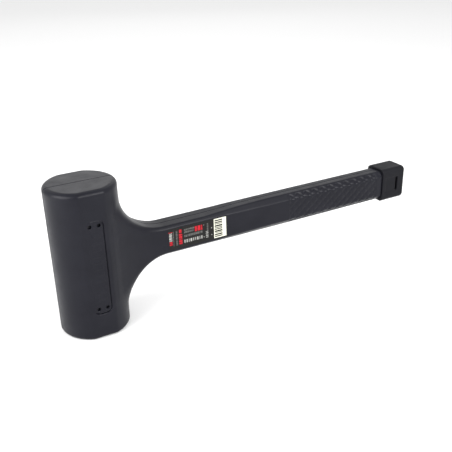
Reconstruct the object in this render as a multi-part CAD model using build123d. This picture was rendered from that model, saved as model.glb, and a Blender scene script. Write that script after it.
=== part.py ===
from build123d import *
import os
from math import sqrt

os.makedirs("parts", exist_ok=True)

# Frame: origin at the centre of the lower strike face, +Z up the head's strike axis,
# +X along the handle towards its end cap. All lengths in millimetres.

# Head: a round barrel with two flat cheeks
HEAD_RADIUS = 30.0
HEAD_LENGTH = 133.0
CHEEK_HALF = 28.1
CHEEK_EDGE_RADIUS = 8.0
RIM_RADIUS = 3.5
MID_HEIGHT = HEAD_LENGTH / 2

# Cheek badge pad and the support-pin holes that the mould leaves in each cheek
PAD_WIDTH = 14.0
PAD_LENGTH = 84.0
PAD_RISE = 0.45
PAD_CORNER_RADIUS = 3.5
PIN_HOLE_RADIUS = 1.5
PIN_HOLE_PITCH_X = 7.6
PIN_HOLE_PITCH_Z = 75.0

# Gusset between the head and the handle
GUSSET_RADIUS = 41.0
GUSSET_SINK = 0.2
SIDE_BLEND_RADIUS = 100.0

# Handle: an octagonal bar, slim at the neck and swelling into a grip of even depth
HANDLE_THICKNESS = 22.4
HANDLE_START_X = 68.5
HANDLE_END_X = 311.5
NECK_HEIGHT = 27.0
NECK_END_HEIGHT = 27.2
SWELL_HEIGHT = 29.6
GRIP_HEIGHT = 30.4
NECK_CHAMFER = 2.4
SWELL_CHAMFER = 4.2
GRIP_CHAMFER = 5.0
NECK_STRAIGHT_X = 108.0
SWELL_X = 142.0
GRIP_START_X = 180.0

# End cap, pushed over a spigot on the handle and held by two catches
CAP_LENGTH = 30.2
CAP_THICKNESS = 24.8
CAP_HEIGHT = 34.4
CAP_CHAMFER = 2.8
CAP_END_CHAMFER = 1.8
CAP_WALL = 2.4
CAP_FLOOR = 3.2
CAP_GAP = 0.1
HANDLE_BORE_X = 280.0
SPIGOT_WALL = 3.4
SLOT_LENGTH = 14.0
SLOT_WIDTH = 1.8
SLOT_FROM_END = 11.4
CATCH_GAP = 0.15
CATCH_SINK = 0.7
CAP_MOUTH_GAP = 0.3
SPIGOT_OVERLAP = 4.0

# Steel canister inside the head
CANISTER_RADIUS = 25.0
CANISTER_WALL = 3.0
FACE_THICKNESS = 8.0
LID_THICKNESS = 7.0
LID_GAP = 0.03
LID_EDGE_BREAK = 0.5
BURIED_GAP = 0.03

# Handle core and the socket that is welded to the canister
CORE_RADIUS = 6.0
CORE_END_X = 272.0
CORE_END_RADIUS = 1.5
SOCKET_RADIUS = 9.0
SOCKET_END_X = 47.0

# Steel shot, stacked in alternating hexagonal layers
BALL_RADIUS = 4.15
BALL_GAP = 0.02
SHOT_LAYERS = 13
LATTICE_SPAN = 5
SHOT_SIDE_GAP = 0.2
SHOT_FLOOR_GAP = 0.05

# Printed label on one side of the neck
LABEL_START_X = 70.0
LABEL_LENGTH = 58.0
LABEL_HEIGHT = 18.6
LABEL_THICKNESS = 0.15

# Sizes worked out from the ones above
SMALL = 0.01
NECK_X = HEAD_RADIUS - GUSSET_SINK + GUSSET_RADIUS
CANISTER_BASE_Z = FACE_THICKNESS
CANISTER_HEIGHT = HEAD_LENGTH - 2 * FACE_THICKNESS
CANISTER_BORE = CANISTER_RADIUS - CANISTER_WALL
SHOT_SPACE = CANISTER_HEIGHT - 2 * LID_THICKNESS
SHOT_FLOOR_Z = CANISTER_BASE_Z + LID_THICKNESS
BALL_PITCH = 2 * BALL_RADIUS + BALL_GAP
LAYER_PITCH = BALL_PITCH * sqrt(2 / 3)


def octagon(x, height, thickness, chamfer_size):
    """Octagonal face across the handle at one station along X."""
    y = thickness / 2
    z = height / 2
    corners = [
        (-y + chamfer_size, z),
        (y - chamfer_size, z),
        (y, z - chamfer_size),
        (y, -z + chamfer_size),
        (y - chamfer_size, -z),
        (-y + chamfer_size, -z),
        (-y, -z + chamfer_size),
        (-y, z - chamfer_size),
    ]
    points = [(x, across, MID_HEIGHT + up) for across, up in corners]
    return make_face(Polyline(*points, close=True))


def octagonal_bar(start_x, end_x, height, thickness, chamfer_size):
    """Straight octagonal bar along X."""
    return extrude(octagon(start_x, height, thickness, chamfer_size), end_x - start_x, dir=(1, 0, 0))


def x_cylinder(radius, start_x, end_x):
    """Round bar along X through the middle of the handle."""
    bar = Cylinder(radius, end_x - start_x, align=(Align.CENTER, Align.CENTER, Align.MIN))
    return Pos(start_x, 0, MID_HEIGHT) * Rot(0, 90, 0) * bar


def z_cylinder(radius, base_z, height):
    """Upright round bar on the head's axis."""
    return Pos(0, 0, base_z) * Cylinder(radius, height, align=(Align.CENTER, Align.CENTER, Align.MIN))


def make_head():
    """Barrel with two flat cheeks and rounded strike-face rims."""
    barrel = z_cylinder(HEAD_RADIUS, 0, HEAD_LENGTH)
    slab = Pos(0, 0, MID_HEIGHT) * Box(2 * HEAD_RADIUS, 2 * CHEEK_HALF, HEAD_LENGTH)
    head = barrel & slab
    corners = head.edges().filter_by(lambda edge: abs(abs(edge.center().Y) - CHEEK_HALF) < SMALL)
    head = fillet(corners.filter_by(Axis.Z), CHEEK_EDGE_RADIUS)
    flats = head.faces().sort_by(Axis.Z)
    return fillet(flats[0].edges() + flats[-1].edges(), RIM_RADIUS)


def flare_disc():
    """Round disc whose two coves run from the handle's faces up and down the barrel."""
    top = MID_HEIGHT + NECK_HEIGHT / 2
    low = MID_HEIGHT - NECK_HEIGHT / 2
    root_x = NECK_X - GUSSET_RADIUS
    diagonal = GUSSET_RADIUS * (1 - sqrt(0.5))
    highest = top + GUSSET_RADIUS
    lowest = low - GUSSET_RADIUS
    outline = [
        Line((0, 0, highest), (root_x, 0, highest)),
        ThreePointArc((root_x, 0, highest), (root_x + diagonal, 0, top + diagonal), (NECK_X, 0, top)),
        Line((NECK_X, 0, top), (NECK_X, 0, low)),
        ThreePointArc((NECK_X, 0, low), (root_x + diagonal, 0, low - diagonal), (root_x, 0, lowest)),
        Line((root_x, 0, lowest), (0, 0, lowest)),
        Line((0, 0, lowest), (0, 0, highest)),
    ]
    return revolve(make_face(outline), Axis.Z)


def gusset_plan():
    """Outline seen from above: handle width, then hollow sweeps out to the barrel."""
    half = HANDLE_THICKNESS / 2
    barrel_radius = HEAD_RADIUS - GUSSET_SINK
    centre_y = half + SIDE_BLEND_RADIUS
    centre_x = sqrt((barrel_radius + SIDE_BLEND_RADIUS) ** 2 - centre_y**2)
    centre = Vector(centre_x, centre_y)
    touch = centre.normalized() * barrel_radius
    bisector = (touch - centre).normalized() + Vector(0, -1)
    middle = centre + bisector.normalized() * SIDE_BLEND_RADIUS
    upper = [
        Line((0, touch.Y), (touch.X, touch.Y)),
        ThreePointArc((touch.X, touch.Y), (middle.X, middle.Y), (centre_x, half)),
        Line((centre_x, half), (NECK_X, half)),
    ]
    lower = [mirror(part, Plane.XZ) for part in upper]
    ends = [Line((0, -touch.Y), (0, touch.Y)), Line((NECK_X, -half), (NECK_X, half))]
    return make_face(upper + lower + ends)


def make_gusset():
    """Web that flares from the handle into the head, with its long edges chamfered."""
    web = flare_disc() & extrude(gusset_plan(), HEAD_LENGTH)
    curved = web.edges().filter_by(GeomType.BSPLINE)
    return chamfer(curved, NECK_CHAMFER)


def make_handle():
    """Octagonal bar that deepens, and whose corner chamfers widen, towards the grip."""
    stations = [
        (HANDLE_START_X, NECK_HEIGHT, NECK_CHAMFER),
        (NECK_STRAIGHT_X, NECK_END_HEIGHT, NECK_CHAMFER),
        (SWELL_X, SWELL_HEIGHT, SWELL_CHAMFER),
        (GRIP_START_X, GRIP_HEIGHT, GRIP_CHAMFER),
        (HANDLE_END_X, GRIP_HEIGHT, GRIP_CHAMFER),
    ]
    rings = [octagon(x, height, HANDLE_THICKNESS, size) for x, height, size in stations]
    return loft(rings, ruled=True)


def cap_cavity(gap):
    """Inside of the end cap, made smaller by a gap all round."""
    inset = 2 * (CAP_WALL + gap)
    end_x = HANDLE_END_X + CAP_LENGTH - CAP_FLOOR - gap
    return octagonal_bar(
        HANDLE_END_X - SPIGOT_OVERLAP, end_x, CAP_HEIGHT - inset, CAP_THICKNESS - inset, CAP_CHAMFER
    )


def slot_centre_x():
    """Place of the catch slots along the handle."""
    return HANDLE_END_X + CAP_LENGTH - SLOT_FROM_END


def make_spigot():
    """Hollow tongue that the end cap is pushed over, with a catch rib on each side."""
    catch = Box(
        SLOT_WIDTH - 2 * CATCH_GAP,
        CAP_THICKNESS - 2 * CATCH_SINK,
        SLOT_LENGTH - 2 * CATCH_GAP,
    )
    return cap_cavity(CAP_GAP) + Pos(slot_centre_x(), 0, MID_HEIGHT) * catch


def handle_bore():
    """Open hollow in the handle's end, which the cap closes."""
    inset = 2 * SPIGOT_WALL
    end_x = HANDLE_END_X + CAP_LENGTH
    height = CAP_HEIGHT - 2 * CAP_WALL - inset
    return octagonal_bar(
        HANDLE_BORE_X, end_x, height, CAP_THICKNESS - 2 * CAP_WALL - inset, CAP_CHAMFER / 2
    )


def make_pads():
    """Raised badge pad in the middle of each cheek."""
    outline = RectangleRounded(PAD_WIDTH, PAD_LENGTH, PAD_CORNER_RADIUS)
    pad = extrude(Plane.XZ * outline, CHEEK_HALF + PAD_RISE, both=True)
    return Pos(0, 0, MID_HEIGHT) * pad


def pin_holes():
    """Four support-pin holes in each cheek, down to the canister."""
    drill = Rot(90, 0, 0) * Cylinder(PIN_HOLE_RADIUS, 2 * HEAD_RADIUS)
    centres = GridLocations(PIN_HOLE_PITCH_X, PIN_HOLE_PITCH_Z, 2, 2)
    places = [(place.position.X, place.position.Y) for place in centres]
    return [Pos(x, 0, MID_HEIGHT + z) * drill for x, z in places]


def buried_parts(gap):
    """Space that the canister, its socket and the core take up in the moulding."""
    canister = z_cylinder(CANISTER_RADIUS + gap, CANISTER_BASE_Z - gap, CANISTER_HEIGHT + 2 * gap)
    socket = x_cylinder(SOCKET_RADIUS + gap, 0, SOCKET_END_X + gap)
    core = x_cylinder(CORE_RADIUS + gap, 0, CORE_END_X + gap)
    return canister + socket + core


def make_body_moulding():
    """One-piece jacket: head, gusset and handle moulded over the steel and the core."""
    outer = make_head() + make_pads() + make_gusset() + make_handle() + make_spigot()
    return outer - handle_bore() - pin_holes() - buried_parts(BURIED_GAP)


def make_end_cap():
    """Push-on cap with a slot through each side for the spigot's catches."""
    end_x = HANDLE_END_X + CAP_LENGTH
    shell = octagonal_bar(HANDLE_END_X + CAP_MOUTH_GAP, end_x, CAP_HEIGHT, CAP_THICKNESS, CAP_CHAMFER)
    shell = chamfer(shell.faces().sort_by(Axis.X)[-1].edges(), CAP_END_CHAMFER)
    slot = Box(SLOT_WIDTH, 2 * CAP_THICKNESS, SLOT_LENGTH)
    return shell - cap_cavity(0) - Pos(slot_centre_x(), 0, MID_HEIGHT) * slot


def make_canister_tube():
    """Steel tube that holds the shot."""
    outer = z_cylinder(CANISTER_RADIUS, CANISTER_BASE_Z, CANISTER_HEIGHT)
    return outer - z_cylinder(CANISTER_BORE, CANISTER_BASE_Z, CANISTER_HEIGHT)


def make_lid(base_z):
    """Steel disc that closes one end of the canister."""
    disc = z_cylinder(CANISTER_BORE - LID_GAP, base_z, LID_THICKNESS)
    return chamfer(disc.edges(), LID_EDGE_BREAK)


def make_core_socket():
    """Steel collar welded to the side of the canister."""
    collar = x_cylinder(SOCKET_RADIUS, 0, SOCKET_END_X)
    canister = z_cylinder(CANISTER_RADIUS + BURIED_GAP, CANISTER_BASE_Z, CANISTER_HEIGHT)
    bore = x_cylinder(CORE_RADIUS + BURIED_GAP, 0, SOCKET_END_X)
    return collar - canister - bore


def make_handle_core():
    """Reinforcing rod, rounded at its free end."""
    rod = x_cylinder(CORE_RADIUS, 0, CORE_END_X)
    rod = fillet(rod.faces().sort_by(Axis.X)[-1].edges(), CORE_END_RADIUS)
    return rod - z_cylinder(CANISTER_RADIUS + BURIED_GAP, CANISTER_BASE_Z, CANISTER_HEIGHT)


def layer_centres(index):
    """Ball centres of one hexagonal layer; every other layer sits in the hollows below."""
    shift = (index % 2) * BALL_PITCH / sqrt(3)
    reach = CANISTER_BORE - SHOT_SIDE_GAP - BALL_RADIUS
    span = range(-LATTICE_SPAN, LATTICE_SPAN + 1)
    places = []
    for row in span:
        for column in span:
            x = BALL_PITCH * (column + row / 2)
            y = BALL_PITCH * row * sqrt(3) / 2 + shift
            if sqrt(x**2 + y**2) <= reach:
                places.append((x, y))
    return places


def make_shot_layer(index):
    """One layer of steel balls."""
    z = SHOT_FLOOR_Z + SHOT_FLOOR_GAP + BALL_RADIUS + index * LAYER_PITCH
    return Compound([Pos(x, y, z) * Sphere(BALL_RADIUS) for x, y in layer_centres(index)])


def make_label():
    """Thin printed label stuck on the side of the neck."""
    sheet = Box(LABEL_LENGTH, LABEL_THICKNESS, LABEL_HEIGHT, align=(Align.MIN, Align.MAX, Align.CENTER))
    return Pos(LABEL_START_X, -HANDLE_THICKNESS / 2, MID_HEIGHT) * sheet


parts = {
    "body_moulding": make_body_moulding(),
    "end_cap": make_end_cap(),
    "label": make_label(),
    "canister_tube": make_canister_tube(),
    "canister_lid_lower": make_lid(CANISTER_BASE_Z),
    "canister_lid_upper": make_lid(CANISTER_BASE_Z + CANISTER_HEIGHT - LID_THICKNESS),
    "core_socket": make_core_socket(),
    "handle_core": make_handle_core(),
}
for layer in range(SHOT_LAYERS):
    parts[f"shot_layer_{layer + 1:02d}"] = make_shot_layer(layer)

for name, shape in parts.items():
    export_step(shape, f"parts/{name}.step")
    print(name, round(shape.volume), "mm3")

stack_height = 2 * BALL_RADIUS + (SHOT_LAYERS - 1) * LAYER_PITCH
print("free travel of the shot", round(SHOT_SPACE - stack_height - 2 * SHOT_FLOOR_GAP, 2), "mm")
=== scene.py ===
import math

import bmesh
import bpy
import numpy as np
import openvdb
from mathutils import Matrix, Vector


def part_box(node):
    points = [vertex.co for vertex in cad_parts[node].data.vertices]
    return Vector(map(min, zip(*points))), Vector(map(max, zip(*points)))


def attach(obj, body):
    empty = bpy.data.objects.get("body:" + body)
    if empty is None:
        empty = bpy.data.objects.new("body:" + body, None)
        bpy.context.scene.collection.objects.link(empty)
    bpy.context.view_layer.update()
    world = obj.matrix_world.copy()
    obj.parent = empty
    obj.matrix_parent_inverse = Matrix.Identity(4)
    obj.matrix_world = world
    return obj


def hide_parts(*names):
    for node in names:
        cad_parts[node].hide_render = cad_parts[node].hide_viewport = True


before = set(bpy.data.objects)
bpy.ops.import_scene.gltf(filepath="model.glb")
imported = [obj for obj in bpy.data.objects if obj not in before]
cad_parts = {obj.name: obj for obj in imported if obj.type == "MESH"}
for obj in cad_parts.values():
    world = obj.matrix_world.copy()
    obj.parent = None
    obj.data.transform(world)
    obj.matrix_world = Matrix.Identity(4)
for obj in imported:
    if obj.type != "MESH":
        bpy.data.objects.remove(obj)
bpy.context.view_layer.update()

# The mallet is worked out in millimetres, in the CAD frame: origin at the centre of the lower strike face,
# +Z up the head's axis, +X along the handle.
MM = 0.001


def box_mm(node):
    """Lowest and highest corner of a CAD node, in millimetres."""
    low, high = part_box(node)
    return np.array(low) / MM, np.array(high) / MM


BODY_LOW, BODY_HIGH = box_mm("body_moulding")
CAP_LOW, CAP_HIGH = box_mm("end_cap")
LABEL_LOW, LABEL_HIGH = box_mm("label")
CAN_HIGH = box_mm("canister_tube")[1]

# Head
HEAD_RADIUS = -BODY_LOW[0]
HEAD_LENGTH = BODY_HIGH[2]
MID = HEAD_LENGTH / 2
PAD_RISE = 0.45
PAD_FACE = BODY_HIGH[1]
CHEEK = PAD_FACE - PAD_RISE
RIM_RADIUS = 3.6
FACE_STEP = 0.3
FACE_SOFTNESS = 0.3
CHEEK_SOFTNESS = 0.35

# Cheek pad, its ribs and the support-pin holes
PAD_HALF_WIDTH = 7.0
PAD_HALF_LENGTH = 42.0
PAD_CORNER = 5.0
PAD_GROOVE_DEPTH = 1.1
PAD_GROOVE_WIDTH = 0.42
PAD_END_SHARE = 1.7
RIB_PITCH = 5.6
RIB_HALF_WIDTH = 1.1
RIB_HALF_LENGTH = 3.9
RIB_RISE = 0.26
RIB_ZONE = 32.0
HOLE_RADIUS = 1.5
HOLE_X = 3.8
HOLE_Z = 37.5
HOLE_FLOOR = CAN_HIGH[0] + 0.5
HOLE_SOFTNESS = 0.3

# Gusset
ROOT_X = HEAD_RADIUS - 0.2
UPPER_RADIUS = 38.2
LOWER_RADIUS = 40.5
NECK_REACH = 41.0
NECK_X = ROOT_X + NECK_REACH
NECK_HALF_HEIGHT = 13.5
SIDE_BLEND_RADIUS = 100.0
HEAD_BLEND = 0.8
ROOT_SOFTNESS = 2.2
ROOT_FADE_X = 24.0
NECK_OVERLAP = 5.0

# Handle
HANDLE_HALF = -LABEL_HIGH[1]
HANDLE_END = CAP_LOW[0] - 0.3
HANDLE_END_RADIUS = 0.4
STATIONS = (68.5, 108.0, 142.0, 180.0, 311.5)
HALF_HEIGHTS = (13.5, 13.6, 14.8, 15.2, 15.2)
CHAMFERS = (2.4, 2.4, 4.2, 5.0, 5.0)
EDGE_SOFTNESS = 0.55
SEAM_DEPTH = 0.28
SEAM_WIDTH = 0.36

# Grip
GRIP_START = 198.0
GRIP_END = 303.5
GRIP_PITCH = 9.6
GRIP_ROW = 8.0
GRIP_DEPTH = 0.5
GRIP_GROOVE = 1.6
GRIP_FADE = 0.8
GRIP_BORDER = 0.7
GRIP_BORDER_SHARE = 0.6
GRIP_EDGE_START = 1.6
GRIP_EDGE_END = 0.6

# Label
FILM_LOW = 57.0
FILM_HIGH = 76.8
INK_BACK = -HANDLE_HALF - 0.06
INK_FRONT = INK_BACK - 0.03
STRIPE_FRONT = INK_FRONT - 0.02

# Shot
CAN_WALL = 3.0
SHOT_CLEARANCE = 0.2
SHOT_GAP = 0.02
SHOT_ROWS = range(-5, 6)
SHOT_LAYERS = 13

# End cap, with the spigot inside it
CAP_WALL = 2.4
CAP_CHAMFER = 2.8
CAP_SOFTNESS = 0.9
CAP_HALF_HEIGHT = (CAP_HIGH[2] - CAP_LOW[2]) / 2
CAP_HALF_WIDTH = CAP_HIGH[1]
CAP_END_BEVEL = 2.4
CAP_END_WALL = 3.2
CAP_MOUTH_RADIUS = 0.5
INNER_SOFTNESS = 0.4
SLOT_X = CAP_HIGH[0] - 11.4
SLOT_HALF_WIDTH = 0.9
SLOT_HALF_LENGTH = 7.0
SLOT_SOFTNESS = 0.35
POCKET_SHIFT = 6.6
POCKET_HALF_WIDTH = 8.0
POCKET_HALF_LENGTH = SLOT_HALF_LENGTH + 1.0
POCKET_DEPTH = 0.32
SPIGOT_GAP = 0.1
SPIGOT_ROOT = 2.0
SPIGOT_LENGTH = 6.0


# ---- Distance fields: negative inside the solid, in millimetres ----

def soft_and(a, b, k):
    """Intersection of two fields whose shared edge is softened over k."""
    blend = np.maximum(k - np.abs(a - b), 0) / k
    return np.maximum(a, b) + blend * blend * k / 4


def soft_or(a, b, k):
    """Union of two fields whose shared crease is filled over k."""
    return -soft_and(-a, -b, k)


def round_and(a, b, radius):
    """Intersection of two fields with a true rounded edge."""
    corner = np.hypot(np.maximum(a + radius, 0), np.maximum(b + radius, 0))
    return np.minimum(-radius, np.maximum(a, b)) + corner


def smooth_step(value, low, high):
    """0 below low, 1 above high, with a smooth rise between."""
    t = np.clip((value - low) / (high - low), 0, 1)
    return t * t * (3 - 2 * t)


def octagon(up, across, half_height, half_width, chamfer, softness):
    """Eight-sided section with softened corners."""
    a = up - half_height
    b = across - half_width
    c = (a + b + chamfer) / math.sqrt(2)
    return soft_and(soft_and(a, b, softness), c, softness)


def rounded_rectangle(u, v, half_u, half_v, corner):
    """Flat rounded rectangle."""
    qu = np.abs(u) - half_u + corner
    qv = np.abs(v) - half_v + corner
    outside = np.hypot(np.maximum(qu, 0), np.maximum(qv, 0))
    return outside + np.minimum(np.maximum(qu, qv), 0) - corner


def handle_half_height(x):
    """Half the handle's depth: slim at the neck, swelling into the grip."""
    return np.interp(x, STATIONS, HALF_HEIGHTS)


def head_field(x, y, z):
    """Barrel with flat cheeks and rounded rims."""
    side = soft_and(np.hypot(x, y) - HEAD_RADIUS, np.abs(y) - CHEEK, CHEEK_SOFTNESS)
    up = np.abs(z - MID) - MID
    face = soft_and(side + RIM_RADIUS, up, FACE_SOFTNESS)
    return np.minimum(round_and(side, up + FACE_STEP, RIM_RADIUS), face)


def cove(u, v, centre_u, centre_v, radius):
    """Hollow quarter sweep: solid beyond the circle, flat past its two ends."""
    curve = radius - np.hypot(u - centre_u, v - centre_v)
    flat = v - (centre_v - radius)
    steep = u - (centre_u - radius)
    return np.where(u > centre_u, flat, np.where(v > centre_v, steep, curve))


def gusset_field(x, y, z):
    """Web between head and handle: coves above and below, and hollow sides."""
    up = np.abs(z - MID)
    radius = np.where(z > MID, UPPER_RADIUS, LOWER_RADIUS)
    top = cove(np.hypot(x, y), up, ROOT_X + radius, NECK_HALF_HEIGHT + radius, radius)
    centre_y = HANDLE_HALF + SIDE_BLEND_RADIUS
    centre_x = math.sqrt((ROOT_X + SIDE_BLEND_RADIUS) ** 2 - centre_y**2)
    touch = ROOT_X / (ROOT_X + SIDE_BLEND_RADIUS)
    side = cove(x, np.abs(y), centre_x, centre_y, SIDE_BLEND_RADIUS)
    side = np.where(x < centre_x * touch, np.abs(y) - centre_y * touch, side)
    share = smooth_step(x, ROOT_FADE_X, NECK_X)
    softness = ROOT_SOFTNESS + (EDGE_SOFTNESS - ROOT_SOFTNESS) * share
    corner = (top + side + CHAMFERS[0]) / math.sqrt(2)
    web = soft_and(soft_and(top, side, softness), corner, softness)
    web = np.maximum(web, up - NECK_HALF_HEIGHT - radius)
    return np.maximum(web, np.maximum(-x, x - NECK_X - NECK_OVERLAP))


def handle_field(x, y, z):
    """Octagonal bar with the spigot that goes into the end cap."""
    chamfer = np.interp(x, STATIONS, CHAMFERS)
    up = np.abs(z - MID)
    across = np.abs(y)
    bar = octagon(up, across, handle_half_height(x), HANDLE_HALF, chamfer, EDGE_SOFTNESS)
    bar = round_and(bar, x - HANDLE_END, HANDLE_END_RADIUS)
    inset = CAP_WALL + SPIGOT_GAP
    spigot = octagon(up, across, CAP_HALF_HEIGHT - inset, CAP_HALF_WIDTH - inset, CAP_CHAMFER, INNER_SOFTNESS)
    spigot = np.maximum(spigot, np.maximum(HANDLE_END - SPIGOT_ROOT - x, x - CAP_LOW[0] - SPIGOT_LENGTH))
    return np.minimum(bar, spigot)


def grip_relief(x, z):
    """Depth of the grooves that cut the grip into staggered diamonds."""
    up = np.abs(z - MID)
    half = handle_half_height(x)
    corner = half - CHAMFERS[-1]
    along = np.where(up < corner, up, corner + (up - corner) * math.sqrt(2))
    scale = 1 / math.hypot(1 / GRIP_PITCH, 1 / GRIP_ROW)
    first = (x - GRIP_START) / GRIP_PITCH + along / GRIP_ROW
    second = (x - GRIP_START) / GRIP_PITCH - along / GRIP_ROW
    nearest = np.minimum(np.abs(first - np.round(first)), np.abs(second - np.round(second))) * scale
    groove = 1 - smooth_step(nearest, 0.1, GRIP_GROOVE)
    started = smooth_step(x, GRIP_START, GRIP_START + GRIP_FADE)
    ended = smooth_step(x, GRIP_END - GRIP_FADE, GRIP_END)
    sides = 1 - smooth_step(up, half - GRIP_EDGE_START, half - GRIP_EDGE_END)
    from_end = np.minimum(np.abs(x - GRIP_START), np.abs(x - GRIP_END))
    border = 1 - smooth_step(from_end, 0.1, GRIP_BORDER)
    return GRIP_DEPTH * sides * np.maximum(groove * (started * (1 - ended)), GRIP_BORDER_SHARE * border)


def seam_relief(y):
    """Fine line that the two mould halves leave all round the middle plane."""
    return SEAM_DEPTH * np.exp(-((y / SEAM_WIDTH) ** 2))


def cheek_pad(x, y, z):
    """How far the cheek stands proud (negative) or is grooved (positive) round the pad."""
    up = z - MID
    edge = rounded_rectangle(x, up, PAD_HALF_WIDTH, PAD_HALF_LENGTH, PAD_CORNER)
    on_cheek = smooth_step(np.abs(y), HEAD_RADIUS * 0.8, HEAD_RADIUS * 0.85)
    rise = PAD_RISE * (1 - smooth_step(edge, -0.45, 0.05))
    right = smooth_step(x, 0, PAD_HALF_WIDTH - 1)
    right = right * (1 - smooth_step(up, PAD_HALF_LENGTH - 4, PAD_HALF_LENGTH))
    below = PAD_END_SHARE * smooth_step(-up, PAD_HALF_LENGTH - 3, PAD_HALF_LENGTH)
    open_side = np.maximum(right, below)
    groove = open_side * PAD_GROOVE_DEPTH * np.exp(-(((edge - 0.3) / PAD_GROOVE_WIDTH) ** 2))
    nearest = np.abs(up - RIB_PITCH * np.round(up / RIB_PITCH))
    rib = rounded_rectangle(x, nearest, RIB_HALF_LENGTH, RIB_HALF_WIDTH, 0.5)
    in_zone = 1 - smooth_step(np.abs(up), RIB_ZONE - 0.5, RIB_ZONE)
    ribs = RIB_RISE * in_zone * (1 - smooth_step(rib, -0.3, 0.3))
    return on_cheek * (groove - rise - ribs + RIB_RISE * (edge < -0.5))


def body_field(x, y, z):
    """The whole moulding, with its relief."""
    arm = gusset_field(x, y, z)
    share = smooth_step(x, NECK_X - NECK_OVERLAP, NECK_X)
    handle = handle_field(x, y, z)
    arm = np.where(x > NECK_X, handle, arm + (handle - arm) * share)
    solid = soft_or(head_field(x, y, z), arm, HEAD_BLEND)
    solid = solid + seam_relief(y) + grip_relief(x, z) + cheek_pad(x, y, z)
    hole = np.hypot(np.abs(x) - HOLE_X, np.abs(z - MID) - HOLE_Z) - HOLE_RADIUS
    hole = np.maximum(hole, HOLE_FLOOR - np.hypot(x, y))
    return soft_and(solid, -hole, HOLE_SOFTNESS)


def cap_field(x, y, z):
    """Push-on cap: octagonal cup with a bevelled end, catch slots and a shallow pocket."""
    up = np.abs(z - MID)
    across = np.abs(y)
    outer = octagon(up, across, CAP_HALF_HEIGHT, CAP_HALF_WIDTH, CAP_CHAMFER, CAP_SOFTNESS)
    end = x - CAP_HIGH[0]
    bevel = (outer + end + CAP_END_BEVEL) / math.sqrt(2)
    shell = soft_and(soft_and(outer, end, CAP_SOFTNESS), bevel, CAP_SOFTNESS)
    shell = round_and(shell, CAP_LOW[0] - x, CAP_MOUTH_RADIUS)
    inner_height = CAP_HALF_HEIGHT - CAP_WALL
    inner = octagon(up, across, inner_height, CAP_HALF_WIDTH - CAP_WALL, CAP_CHAMFER, INNER_SOFTNESS)
    shell = np.maximum(shell, -np.maximum(inner, x - CAP_HIGH[0] + CAP_END_WALL))
    slot = rounded_rectangle(x - SLOT_X, z - MID, SLOT_HALF_WIDTH, SLOT_HALF_LENGTH, 0.5)
    shell = soft_and(shell, -slot, SLOT_SOFTNESS)
    pocket_x = x - SLOT_X + POCKET_SHIFT
    pocket = rounded_rectangle(pocket_x, z - MID, POCKET_HALF_WIDTH, POCKET_HALF_LENGTH, 0.6)
    on_side = smooth_step(across, CAP_HALF_WIDTH - 2, CAP_HALF_WIDTH - 1)
    pocket = POCKET_DEPTH * (1 - smooth_step(pocket, -0.35, 0.25)) * on_side
    return shell + pocket


# ---- From a field to a mesh ----

def stations(*runs):
    """Sample places along an axis, from (start, end, step) runs."""
    parts = [np.linspace(a, b, max(2, round((b - a) / step) + 1))[:-1] for a, b, step in runs]
    return np.concatenate(parts + [[runs[-1][1]]])


def settle(points, field):
    """Moves sample points onto the field's zero surface."""
    reach = 0.02
    for _ in range(3):
        value = field(*points.T)
        slopes = []
        for axis in range(3):
            step = np.zeros(3)
            step[axis] = reach
            slopes.append((field(*(points + step).T) - field(*(points - step).T)) / (2 * reach))
        slope = np.stack(slopes, 1)
        size = np.maximum((slope**2).sum(1), 0.25)
        move = -(value / size)[:, None] * slope
        length = np.linalg.norm(move, axis=1, keepdims=True)
        points = points + move * np.minimum(1, 0.3 / np.maximum(length, 1e-9))
    return points


def mesh_from_field(name, field, xs, ys, zs):
    """Closed quad mesh of a field's zero surface, finer where its stations are closer."""
    values = np.empty((len(xs), len(ys), len(zs)), np.float32)
    for i, x in enumerate(xs):
        values[i] = field(np.full((len(ys), len(zs)), x), ys[:, None] + 0 * zs, zs + 0 * ys[:, None])
    grid = openvdb.FloatGrid(background=float(values.max()))
    grid.copyFromArray(values)
    points, quads = grid.convertToQuads(isovalue=0.0)
    axes = [np.interp(points[:, i], np.arange(len(s)), s) for i, s in enumerate((xs, ys, zs))]
    points = settle(np.stack(axes, 1), field)
    a, b, c = (points[quads[:, i]] for i in range(3))
    if (a * np.cross(b, c)).sum() < 0:
        quads = quads[:, ::-1]
    mesh = bpy.data.meshes.new(name)
    mesh.vertices.add(len(points))
    mesh.vertices.foreach_set("co", (points * MM).astype(np.float32).ravel())
    mesh.loops.add(quads.size)
    mesh.loops.foreach_set("vertex_index", quads.astype(np.int32).ravel())
    mesh.polygons.add(len(quads))
    mesh.polygons.foreach_set("loop_start", np.arange(0, quads.size, 4, dtype=np.int32))
    mesh.polygons.foreach_set("use_smooth", np.ones(len(quads), bool))
    mesh.update(calc_edges=True)
    mesh.validate()
    return add_object(name, mesh)


def add_object(name, mesh):
    """Links a new object that holds the mesh."""
    piece = bpy.data.objects.new(name, mesh)
    bpy.context.scene.collection.objects.link(piece)
    return piece


# ---- Materials ----

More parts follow.
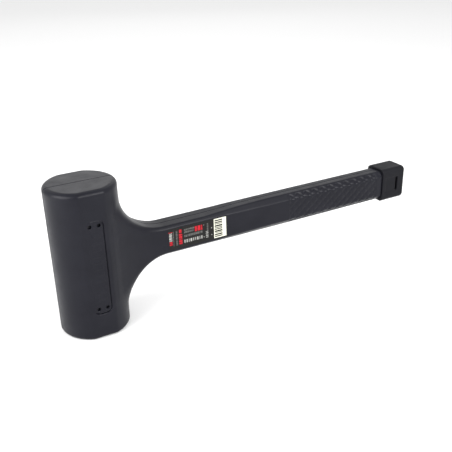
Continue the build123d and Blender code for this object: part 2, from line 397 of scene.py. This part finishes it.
class Shader:
    """A node material with short ways to add and join nodes."""

    def __init__(self, name, **sockets):
        self.material = bpy.data.materials.new(name)
        self.material.use_nodes = True
        self.tree = self.material.node_tree
        self.bsdf = self.tree.nodes["Principled BSDF"]
        for socket, value in sockets.items():
            self.bsdf.inputs[socket.replace("_", " ")].default_value = value
        self.place = self.add("ShaderNodeTexCoord").outputs["Object"]

    def add(self, kind, **settings):
        """A new node with its attributes set."""
        node = self.tree.nodes.new(kind)
        for key, value in settings.items():
            setattr(node, key, value)
        return node

    def join(self, output, socket):
        """Links an output to an input."""
        self.tree.links.new(output, socket)

    def noise(self, scale, detail=3.0, roughness=0.5, stretch=(1, 1, 1)):
        """Noise over the piece, with features about 1/scale metres across."""
        mapping = self.add("ShaderNodeMapping")
        mapping.inputs["Scale"].default_value = stretch
        self.join(self.place, mapping.inputs["Vector"])
        node = self.add("ShaderNodeTexNoise")
        node.inputs["Scale"].default_value = scale
        node.inputs["Detail"].default_value = detail
        node.inputs["Roughness"].default_value = roughness
        self.join(mapping.outputs["Vector"], node.inputs["Vector"])
        return node.outputs["Fac"]

    def ramp(self, value, low, high, start=0.0, end=1.0):
        """Maps a value from start..end to low..high."""
        node = self.add("ShaderNodeMapRange")
        node.inputs["From Min"].default_value = start
        node.inputs["From Max"].default_value = end
        node.inputs["To Min"].default_value = low
        node.inputs["To Max"].default_value = high
        self.join(value, node.inputs["Value"])
        return node.outputs["Result"]

    def product(self, first, second):
        """Two values multiplied."""
        node = self.add("ShaderNodeMath", operation="MULTIPLY")
        self.join(first, node.inputs[0])
        self.join(second, node.inputs[1])
        return node.outputs[0]

    def mix(self, factor, first, second):
        """Mix of two colours, each a tuple or an output."""
        node = self.add("ShaderNodeMix", data_type="RGBA")
        self.join(factor, node.inputs["Factor"])
        for socket, value in ((node.inputs[6], first), (node.inputs[7], second)):
            if isinstance(value, tuple):
                socket.default_value = (*value, 1)
            else:
                self.join(value, socket)
        return node.outputs[2]

    def bump(self, height, distance, strength=1.0, under=None):
        """Bump of a given real height, stacked on another."""
        node = self.add("ShaderNodeBump")
        node.inputs["Distance"].default_value = distance
        node.inputs["Strength"].default_value = strength
        self.join(height, node.inputs["Height"])
        if under is not None:
            self.join(under, node.inputs["Normal"])
        return node.outputs["Normal"]

    def finish(self, colour=None, roughness=None, normal=None):
        """Joins the finished outputs to the shader."""
        for output, socket in ((colour, "Base Color"), (roughness, "Roughness"), (normal, "Normal")):
            if output is not None:
                self.join(output, self.bsdf.inputs[socket])
        return self.material


def moulded_black(name, gloss, dark, light, rough_low, rough_high, scuff=None):
    """Black moulded elastomer: fine eroded grain, faint flow mottling and handling marks."""
    shader = Shader(name, Specular_IOR_Level=gloss)
    mottle = shader.noise(38, 4, 0.6, (0.5, 1, 1))
    colour = shader.mix(shader.ramp(mottle, 0, 1, 0.3, 0.7), dark, light)
    if scuff:
        rubbed = shader.noise(75, 6, 0.7, (0.16, 1, 1))
        amount = shader.product(strike_faces(shader), shader.ramp(rubbed, 0.25, 1, 0.36, 0.66))
        colour = shader.mix(amount, colour, scuff)
    smudge = shader.noise(95, 5, 0.62)
    roughness = shader.ramp(smudge, rough_low, rough_high, 0.3, 0.7)
    grain = shader.bump(shader.noise(1500, 2, 0.6), 0.00005, 0.55)
    wave = shader.bump(shader.noise(120, 2, 0.5), 0.00012, 0.35, grain)
    return shader.finish(colour, roughness, wave)


def strike_faces(shader):
    """1 on the two strike faces, 0 elsewhere."""
    axes = shader.add("ShaderNodeSeparateXYZ")
    shader.join(shader.place, axes.inputs["Vector"])
    away = shader.add("ShaderNodeMath", operation="SUBTRACT")
    away.inputs[1].default_value = MID * MM
    shader.join(axes.outputs["Z"], away.inputs[0])
    height = shader.add("ShaderNodeMath", operation="ABSOLUTE")
    shader.join(away.outputs[0], height.inputs[0])
    return shader.ramp(height.outputs[0], 0, 1, (MID - 0.25) * MM, (MID - 0.1) * MM)


def plain_steel():
    """Drawn steel with fine scratches along the part and a thin oil film."""
    shader = Shader("plain_steel", Metallic=1.0)
    streak = shader.noise(300, 4, 0.6, (1, 1, 0.05))
    colour = shader.mix(streak, (0.30, 0.30, 0.31), (0.52, 0.52, 0.53))
    roughness = shader.ramp(shader.noise(140, 4), 0.28, 0.5)
    return shader.finish(colour, roughness, shader.bump(streak, 0.00003, 0.5))


def glass_fibre():
    """Pultruded rod: straw-coloured resin with fibres along it."""
    shader = Shader("glass_fibre_rod")
    fibre = shader.noise(700, 3, 0.6, (0.03, 1, 1))
    colour = shader.mix(fibre, (0.42, 0.36, 0.18), (0.66, 0.60, 0.38))
    return shader.finish(colour, shader.ramp(fibre, 0.35, 0.55), shader.bump(fibre, 0.00005, 0.6))


def printed_ink(name, dark, light):
    """Slightly uneven ink under a satin film."""
    shader = Shader(name, Specular_IOR_Level=0.15)
    colour = shader.mix(shader.ramp(shader.noise(420, 3, 0.6), 0, 1, 0.3, 0.7), dark, light)
    roughness = shader.ramp(shader.noise(90, 3), 0.32, 0.46)
    return shader.finish(colour, roughness, shader.bump(shader.noise(260, 2), 0.00004, 0.4))


# ---- Pieces ----

def make_body():
    """The one-piece jacket, sampled more finely round the pad, the rims and the grip."""
    half_y = PAD_FACE + 0.9
    xs = stations(
        (-HEAD_RADIUS - 1, -9, 1.1), (-9, 9, 0.36), (9, NECK_X, 1.2), (NECK_X, GRIP_START - 4, 1.9),
        (GRIP_START - 4, CAP_LOW[0] + 8, 0.78),
    )
    ys = stations((-half_y, -1.2, 0.95), (-1.2, 1.2, 0.3), (1.2, half_y, 0.95))
    zs = stations(
        (-1, 6, 0.6), (6, MID - 43.5, 1.0), (MID - 43.5, MID - 34, 0.42),
        (MID - 34, MID + 34, 0.95), (MID + 34, MID + 43.5, 0.42),
        (MID + 43.5, HEAD_LENGTH - 6, 1.0), (HEAD_LENGTH - 6, HEAD_LENGTH + 1, 0.6),
    )
    body = mesh_from_field("jacket", body_field, xs, ys, zs)
    body.data.materials.append(JACKET)
    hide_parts("body_moulding")
    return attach(body, "mallet")


def make_cap():
    """The end cap."""
    xs = stations((CAP_LOW[0] - 1, CAP_HIGH[0] + 1, 0.4))
    ys = stations((CAP_LOW[1] - 1, CAP_HIGH[1] + 1, 0.5))
    zs = stations((CAP_LOW[2] - 1, CAP_HIGH[2] + 1, 0.5))
    cap = mesh_from_field("cap", cap_field, xs, ys, zs)
    cap.data.materials.append(CAP_BLACK)
    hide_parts("end_cap")
    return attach(cap, "mallet")


def add_block(mesh, x0, z0, x1, z1, y_back, y_front):
    """Adds a thin slab, in millimetres, to a bmesh."""
    centre = Vector(((x0 + x1) / 2, (y_back + y_front) / 2, (z0 + z1) / 2)) * MM
    size = Vector((x1 - x0, y_back - y_front, z1 - z0)) * MM
    bmesh.ops.create_cube(mesh, size=1, matrix=Matrix.LocRotScale(centre, None, size))


def dashes(start, end, count, gap):
    """Uneven short runs between start and end, as small print looks from afar."""
    weights = [1 + 0.45 * math.sin(2.4 * i) for i in range(count)]
    unit = (end - start - gap * (count - 1)) / sum(weights)
    place = start
    for weight in weights:
        yield place, place + weight * unit
        place += weight * unit + gap


def print_piece(name, material, blocks):
    """One colour of the print, as thin ink blocks on the film."""
    mesh = bmesh.new()
    for x0, z0, x1, z1 in blocks:
        add_block(mesh, x0, z0, x1, z1, INK_BACK, INK_FRONT)
    return finish_label_piece(name, material, mesh)


def finish_label_piece(name, material, mesh):
    """Turns a bmesh into a label piece that rides on the mallet."""
    data = bpy.data.meshes.new(name)
    mesh.to_mesh(data)
    mesh.free()
    piece = add_object(name, data)
    piece.data.materials.append(material)
    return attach(piece, "mallet")


def row_along(x0, x1, z0, z1, count, gap=0.35):
    """A line of print along the handle."""
    return [(a, z0, b, z1) for a, b in dashes(x0, x1, count, gap)]


def column_up(x0, x1, z0, z1, count, gap=0.35):
    """A line of print across the handle."""
    return [(x0, a, x1, b) for a, b in dashes(z0, z1, count, gap)]


def make_label():
    """Printed film on the neck; its lettering and code are only uneven blocks and stripes."""
    film = bmesh.new()
    add_block(film, LABEL_LOW[0], FILM_LOW, LABEL_HIGH[0], FILM_HIGH, -HANDLE_HALF, INK_BACK)
    film_piece = finish_label_piece("label_film", INK_FILM, film)
    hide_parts("label")
    white = column_up(74.2, 74.9, 60, 74, 11)
    white += column_up(76.8, 78.5, 60, 74, 13)
    white += row_along(85, 95, 72.4, 74.0, 7)
    white += row_along(85, 94.6, 69.9, 71.7, 8)
    white += row_along(84.8, 103, 66.1, 68.3, 12)
    white += column_up(107.6, 109.1, 67, 74, 6)
    print_piece("label_small_print", INK_GREY, white)
    bold = row_along(84.8, 102.9, 60.6, 63.6, 9, 0.95)
    bold += column_up(70.5, 73.2, 65.2, 73.0, 5, 0.35)
    bold += column_up(106.4, 108.9, 60.2, 66.6, 5, 0.7)
    bold += [(104.1, 61.2, 104.9, 62.0), (104.4, 73.0, 105.0, 73.6)]
    bold += [(111.9, 68.2, 112.9, 69.2), (112.0, 61.6, 112.8, 62.3)]
    print_piece("label_bold_print", INK_WHITE, bold)
    red = [(80.1, 71.2, 82.5, 74.5), (69.9, 73.4, 73.7, 73.9)]
    red += column_up(79.8, 82.9, 60.3, 70.2, 5, 0.5)
    red += row_along(95.6, 103, 69.2, 74.1, 3, 0.8)
    red += column_up(70.6, 73.3, 61.2, 64.7, 2, 0.4)
    print_piece("label_red_print", INK_RED, red)
    print_piece("label_panel", INK_CREAM, [(114.8, 57.4, 127.4, 76.4)])
    stripes = bmesh.new()
    for low, high in dashes(58.4, 75.6, 10, 0.3):
        add_block(stripes, 115.6, low, 123.4, low + 0.76 * (high - low), INK_FRONT, STRIPE_FRONT)
    finish_label_piece("label_stripes", INK_FILM, stripes)


def make_shot(layer):
    """One layer of steel balls, each a light round mesh where the CAD ball is."""
    low, high = box_mm(f"shot_layer_{layer:02d}")
    radius = (high[2] - low[2]) / 2
    pitch = 2 * radius + SHOT_GAP
    shift = ((layer - 1) % 2) * pitch / math.sqrt(3)
    reach = CAN_HIGH[0] - CAN_WALL - SHOT_CLEARANCE - radius
    mesh = bmesh.new()
    for row in SHOT_ROWS:
        for column in SHOT_ROWS:
            x = pitch * (column + row / 2)
            y = pitch * row * math.sqrt(3) / 2 + shift
            if math.hypot(x, y) <= reach:
                place = Matrix.Translation(Vector((x, y, (low[2] + high[2]) / 2)) * MM)
                size = radius * MM
                bmesh.ops.create_uvsphere(mesh, u_segments=20, v_segments=12, radius=size, matrix=place)
    data = bpy.data.meshes.new(f"shot_{layer:02d}")
    mesh.to_mesh(data)
    mesh.free()
    data.shade_smooth()
    data.materials.append(STEEL)
    balls = add_object(f"shot_{layer:02d}", data)
    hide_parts(f"shot_layer_{layer:02d}")
    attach(balls, "shot_charge")


def give_material(material, *names):
    """Better material on CAD nodes whose shape stays."""
    for name in names:
        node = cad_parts[name]
        node.data.materials.clear()
        node.data.materials.append(material)


JACKET = moulded_black(
    "jacket_black", gloss=0.14, dark=(0.0046, 0.0047, 0.0078), light=(0.0076, 0.0077, 0.0116),
    rough_low=0.28, rough_high=0.42, scuff=(0.024, 0.024, 0.027),
)
CAP_BLACK = moulded_black(
    "cap_black", gloss=0.10, dark=(0.0038, 0.0039, 0.0056), light=(0.0062, 0.0063, 0.0084),
    rough_low=0.42, rough_high=0.56,
)
STEEL = plain_steel()
INK_FILM = printed_ink("label_black", (0.0050, 0.0048, 0.0046), (0.0085, 0.0080, 0.0075))
INK_GREY = printed_ink("label_grey", (0.040, 0.040, 0.038), (0.105, 0.105, 0.100))
INK_WHITE = printed_ink("label_white", (0.16, 0.16, 0.152), (0.32, 0.32, 0.30))
INK_CREAM = printed_ink("label_cream", (0.52, 0.52, 0.43), (0.64, 0.64, 0.54))
INK_RED = printed_ink("label_red", (0.26, 0.005, 0.011), (0.40, 0.009, 0.018))

make_body()
make_cap()
make_label()
for shot_layer in range(1, SHOT_LAYERS + 1):
    make_shot(shot_layer)
give_material(STEEL, "canister_tube", "canister_lid_lower", "canister_lid_upper", "core_socket")
give_material(glass_fibre(), "handle_core")


# ---- Stage ----

# Camera: angles in degrees, place in metres, lens in millimetres on a 36 mm sensor
CAMERA_AZIMUTH = -28.613
CAMERA_ELEVATION = 24.77
CAMERA_ROLL = -1.472
CAMERA_PLACE = (-0.13812, -0.49771, 0.3224)
CAMERA_LENS = 53.258
FLOOR_HALF_SIDE = 6.0
FLOOR_WHITE = (0.80, 0.80, 0.80, 1)


def make_floor():
    """Plain pale floor."""
    mesh = bpy.data.meshes.new("floor")
    side = FLOOR_HALF_SIDE
    corners = [(-side, -side, 0), (side, -side, 0), (side, side, 0), (-side, side, 0)]
    mesh.from_pydata(corners, [], [(0, 1, 2, 3)])
    floor = add_object("floor", mesh)
    shader = Shader("floor_paper", Roughness=0.9, Specular_IOR_Level=0.1)
    shader.bsdf.inputs["Base Color"].default_value = FLOOR_WHITE
    floor.data.materials.append(shader.material)


def make_light(name, place, aim, size, power):
    """Square soft light that faces a point."""
    lamp = bpy.data.lights.new(name, "AREA")
    lamp.size = size
    lamp.energy = power
    light = bpy.data.objects.new(name, lamp)
    bpy.context.scene.collection.objects.link(light)
    light.location = place
    light.rotation_euler = (Vector(aim) - Vector(place)).to_track_quat("-Z", "Y").to_euler()


def make_world(strength):
    """Even white surroundings."""
    world = bpy.data.worlds.new("studio")
    bpy.context.scene.world = world
    world.use_nodes = True
    background = world.node_tree.nodes["Background"]
    background.inputs["Color"].default_value = (1, 1, 1, 1)
    background.inputs["Strength"].default_value = strength


def make_camera():
    """Camera in front and to the left of the head, looking down along the handle."""
    azimuth = math.radians(CAMERA_AZIMUTH)
    elevation = math.radians(CAMERA_ELEVATION)
    roll = math.radians(CAMERA_ROLL)
    level = Vector((math.sin(azimuth), -math.cos(azimuth), 0))
    back = level * math.cos(elevation) + Vector((0, 0, math.sin(elevation)))
    right = Vector((math.cos(azimuth), math.sin(azimuth), 0))
    up = back.cross(right)
    across = right * math.cos(roll) + up * math.sin(roll)
    upright = up * math.cos(roll) - right * math.sin(roll)
    data = bpy.data.cameras.new("camera")
    data.lens = CAMERA_LENS
    data.sensor_width = 36
    data.clip_start = 0.01
    camera = bpy.data.objects.new("camera", data)
    bpy.context.scene.collection.objects.link(camera)
    turn = Matrix((across, upright, back)).transposed()
    camera.matrix_world = Matrix.Translation(CAMERA_PLACE) @ turn.to_4x4()
    bpy.context.scene.camera = camera


make_floor()
make_world(1.0)
make_light("overhead_softbox", (0.55, -0.50, 0.96), (0.02, 0, 0.10), 0.5, 1.3)
make_light("right_softbox", (0.50, -1.06, 0.72), (0, -0.028, 0.13), 0.75, 16.0)
make_light("left_softbox", (-1.16, -0.20, 0.67), (0, 0, 0.13), 1.1, 30.0)
make_light("back_softbox", (0.87, 1.60, 0.95), (0, 0, 0.12), 1.2, 1.3)
make_camera()
bpy.context.scene.view_settings.view_transform = "Standard"
